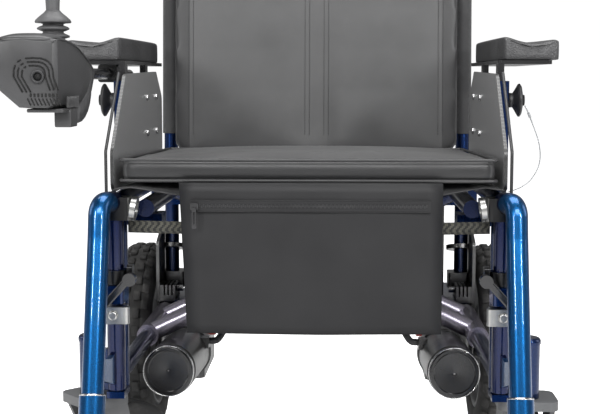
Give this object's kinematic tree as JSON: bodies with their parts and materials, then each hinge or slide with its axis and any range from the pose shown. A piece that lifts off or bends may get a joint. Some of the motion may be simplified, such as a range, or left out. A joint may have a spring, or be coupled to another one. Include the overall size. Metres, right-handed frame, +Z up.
{
  "type": "power wheelchair",
  "caption": "Folding power wheelchair with rear drive wheels, front casters, swing-away footrests, padded arms and a joystick control.",
  "frame": {"origin": "on the floor, midway along the chair's length and width", "axes": "+X to the user's left, +Y towards the rear, +Z up"},
  "size_m": [0.651, 0.969, 0.9346],
  "materials": {
    "blue_paint": "metallic gloss",
    "black_paint": "satin",
    "guard_sheet": "woven satin",
    "zinc_steel": "bright",
    "grip_rubber": "matte",
    "grey_plastic": "satin",
    "tyre": "matte",
    "black_plastic": "fine grain",
    "cast_alloy": "cast satin",
    "red_plastic": "gloss",
    "arm_foam": "pebbled",
    "seat_vinyl": "soft semi-gloss",
    "nylon": "woven",
    "coated_wire": "clear coated"
  },
  "bodies": {
    "right_frame": {"right_side_frame": "blue_paint", "right_battery_pack": "black_paint", "right_side_guard": "guard_sheet", "right_guard_screws": "zinc_steel", "right_push_grip": "grip_rubber", "right_drive_motor": "cast_alloy", "right_motor_end_cap": "black_plastic", "right_axle_plate": "cast_alloy", "right_motor_conduit": "black_plastic", "backrest": "seat_vinyl", "front_strap": "nylon"},
    "left_frame": {"left_side_frame": "blue_paint", "left_battery_pack": "black_paint", "left_side_guard": "guard_sheet", "left_guard_screws": "zinc_steel", "left_push_grip": "grip_rubber", "left_drive_motor": "cast_alloy", "left_motor_end_cap": "black_plastic", "left_axle_plate": "cast_alloy", "left_motor_conduit": "black_plastic"},
    "brace_a": {"brace_a": "blue_paint", "brace_bolt": "zinc_steel"},
    "brace_b": {"brace_b": "blue_paint"},
    "seat": {"seat_cushion": "seat_vinyl", "seat_sling": "nylon", "seat_pouch": "nylon"},
    "zip_slider": {"zip_slider": "black_plastic"},
    "zip_pull": {"zip_pull": "black_plastic"},
    "left_drive_wheel": {"left_drive_rim": "grey_plastic", "left_drive_tyre": "tyre"},
    "left_freewheel_lever": {"left_freewheel_lever": "red_plastic"},
    "left_caster_fork": {"left_caster_fork": "grey_plastic"},
    "left_caster_wheel": {"left_caster_wheel": "grey_plastic"},
    "left_hanger": {"left_hanger_tube": "blue_paint", "left_hanger_latch": "cast_alloy"},
    "left_release_lever": {"left_release_lever": "black_paint"},
    "left_footrest_sleeve": {"left_footrest_sleeve": "blue_paint"},
    "left_footplate": {"left_footplate": "black_plastic"},
    "left_armrest": {"left_armrest_post": "black_paint", "left_armrest_pad": "arm_foam"},
    "left_arm_lock": {"left_arm_lock_knob": "black_plastic", "lock_lanyard": "coated_wire"},
    "right_drive_wheel": {"right_drive_rim": "grey_plastic", "right_drive_tyre": "tyre"},
    "right_freewheel_lever": {"right_freewheel_lever": "red_plastic"},
    "right_caster_fork": {"right_caster_fork": "grey_plastic"},
    "right_caster_wheel": {"right_caster_wheel": "grey_plastic"},
    "right_hanger": {"right_hanger_tube": "blue_paint", "right_hanger_latch": "cast_alloy"},
    "right_release_lever": {"right_release_lever": "black_paint"},
    "right_footrest_sleeve": {"right_footrest_sleeve": "blue_paint"},
    "right_footplate": {"right_footplate": "black_plastic"},
    "right_armrest": {"right_armrest_post": "black_paint", "right_armrest_pad": "arm_foam"},
    "right_arm_lock": {"right_arm_lock_knob": "black_plastic"},
    "joystick": {"joystick_bar": "black_paint", "joystick_housing": "black_plastic"},
    "joystick_gimbal": {"joystick_gimbal": "grip_rubber"},
    "joystick_stick": {"joystick_stick": "black_plastic"},
    "joystick_keys": {"joystick_keys": "black_plastic"}
  },
  "joints": [
    {"name": "fold", "type": "hinge", "parent": "right_frame", "child": "brace_a", "pos_m": [-0.235, 0.0655, 0.223], "axis": [0, -1, 0], "range_deg": [0, 38], "deforming": ["backrest", "front_strap"]},
    {"name": "cross_pivot", "type": "hinge", "parent": "brace_a", "child": "brace_b", "pos_m": [0, 0.0655, 0.3348], "axis": [0, 1, 0], "range_deg": [0, 76]},
    {"name": "left_frame_pivot", "type": "hinge", "parent": "brace_b", "child": "left_frame", "pos_m": [0.235, 0.0965, 0.223], "axis": [0, -1, 0], "range_deg": [0, 38]},
    {"name": "seat_lift", "type": "slide", "parent": "right_frame", "child": "seat", "axis": [0, 0, 1], "range_m": [0, 0.22483], "deforming": ["seat_cushion", "seat_sling", "seat_pouch"]},
    {"name": "zip_run", "type": "slide", "parent": "seat", "child": "zip_slider", "axis": [1, 0, 0], "range_m": [0, 0.265]},
    {"name": "zip_pull_swing", "type": "hinge", "parent": "zip_slider", "child": "zip_pull", "pos_m": [-0.134, -0.2165, 0.4348], "axis": [1, 0, 0], "range_deg": [-80, 5]},
    {"name": "left_drive_spin", "type": "hinge", "parent": "left_frame", "child": "left_drive_wheel", "pos_m": [0.28375, 0.3255, 0.159], "axis": [1, 0, 0], "continuous": true},
    {"name": "left_freewheel_turn", "type": "hinge", "parent": "left_frame", "child": "left_freewheel_lever", "pos_m": [0.17, 0.2855, 0.183], "axis": [1, 0, 0], "range_deg": [0, 75]},
    {"name": "left_caster_swivel", "type": "hinge", "parent": "left_frame", "child": "left_caster_fork", "pos_m": [0.272, -0.1545, 0.21], "axis": [0, 0, -1], "continuous": true},
    {"name": "left_caster_spin", "type": "hinge", "parent": "left_caster_fork", "child": "left_caster_wheel", "pos_m": [0.272, -0.1145, 0.089], "axis": [1, 0, 0], "continuous": true},
    {"name": "left_hanger_swing", "type": "hinge", "parent": "left_frame", "child": "left_hanger", "pos_m": [0.235, -0.1845, 0.3], "axis": [0, 0, 1], "range_deg": [0, 90]},
    {"name": "left_release", "type": "hinge", "parent": "left_hanger", "child": "left_release_lever", "pos_m": [0.2135, -0.2085, 0.348], "axis": [0, -1, 0], "range_deg": [0, 20], "stiffness_Nm_per_rad": 0.5},
    {"name": "left_footrest_length", "type": "slide", "parent": "left_hanger", "child": "left_footrest_sleeve", "axis": [0, -0.2759, -0.9612], "range_m": [0, 0.035]},
    {"name": "left_footplate_flip", "type": "hinge", "parent": "left_footrest_sleeve", "child": "left_footplate", "pos_m": [0.246, -0.4175, 0.088], "axis": [0, 1, 0], "range_deg": [0, 88]},
    {"name": "left_armrest_height", "type": "slide", "parent": "left_frame", "child": "left_armrest", "axis": [0, 0, 1], "range_m": [0, 0.06]},
    {"name": "left_arm_lock_pull", "type": "slide", "parent": "left_frame", "child": "left_arm_lock", "axis": [1, 0, 0], "range_m": [0, 0.006], "stiffness_N_per_m": 800},
    {"name": "right_drive_spin", "type": "hinge", "parent": "right_frame", "child": "right_drive_wheel", "pos_m": [-0.28375, 0.3255, 0.159], "axis": [1, 0, 0], "continuous": true},
    {"name": "right_freewheel_turn", "type": "hinge", "parent": "right_frame", "child": "right_freewheel_lever", "pos_m": [-0.17, 0.2855, 0.183], "axis": [-1, 0, 0], "range_deg": [0, 75]},
    {"name": "right_caster_swivel", "type": "hinge", "parent": "right_frame", "child": "right_caster_fork", "pos_m": [-0.272, -0.1545, 0.21], "axis": [0, 0, 1], "continuous": true},
    {"name": "right_caster_spin", "type": "hinge", "parent": "right_caster_fork", "child": "right_caster_wheel", "pos_m": [-0.24323, -0.12671, 0.089], "axis": [0.6947, -0.7193, 0], "continuous": true},
    {"name": "right_hanger_swing", "type": "hinge", "parent": "right_frame", "child": "right_hanger", "pos_m": [-0.235, -0.1845, 0.3], "axis": [0, 0, -1], "range_deg": [0, 90]},
    {"name": "right_release", "type": "hinge", "parent": "right_hanger", "child": "right_release_lever", "pos_m": [-0.2135, -0.2085, 0.348], "axis": [0, 1, 0], "range_deg": [0, 20], "stiffness_Nm_per_rad": 0.5},
    {"name": "right_footrest_length", "type": "slide", "parent": "right_hanger", "child": "right_footrest_sleeve", "axis": [0, -0.2759, -0.9612], "range_m": [0, 0.035]},
    {"name": "right_footplate_flip", "type": "hinge", "parent": "right_footrest_sleeve", "child": "right_footplate", "pos_m": [-0.246, -0.4175, 0.088], "axis": [0, -1, 0], "range_deg": [0, 88]},
    {"name": "right_armrest_height", "type": "slide", "parent": "right_frame", "child": "right_armrest", "axis": [0, 0, 1], "range_m": [0, 0.06]},
    {"name": "right_arm_lock_pull", "type": "slide", "parent": "right_frame", "child": "right_arm_lock", "axis": [-1, 0, 0], "range_m": [0, 0.006], "stiffness_N_per_m": 800},
    {"name": "joystick_reach", "type": "slide", "parent": "right_armrest", "child": "joystick", "axis": [0, 1, 0], "range_m": [-0.02, 0.04]},
    {"name": "joystick_fore_aft", "type": "hinge", "parent": "joystick", "child": "joystick_gimbal", "pos_m": [-0.288, -0.2545, 0.608], "axis": [1, 0, 0], "range_deg": [-16, 16], "stiffness_Nm_per_rad": 0.3},
    {"name": "joystick_sideways", "type": "hinge", "parent": "joystick_gimbal", "child": "joystick_stick", "pos_m": [-0.288, -0.2545, 0.608], "axis": [0, 1, 0], "range_deg": [-16, 16], "stiffness_Nm_per_rad": 0.3},
    {"name": "joystick_key_press", "type": "slide", "parent": "joystick", "child": "joystick_keys", "axis": [0, 0, -1], "range_m": [0, 0.0012], "stiffness_N_per_m": 1500}
  ],
  "couplings": [
    {"joint": "cross_pivot", "follows": "fold", "ratio": 2},
    {"joint": "left_frame_pivot", "follows": "fold", "ratio": 1},
    {"joint": "seat_lift", "follows": "fold", "m_per_rad": 0.339}
  ]
}
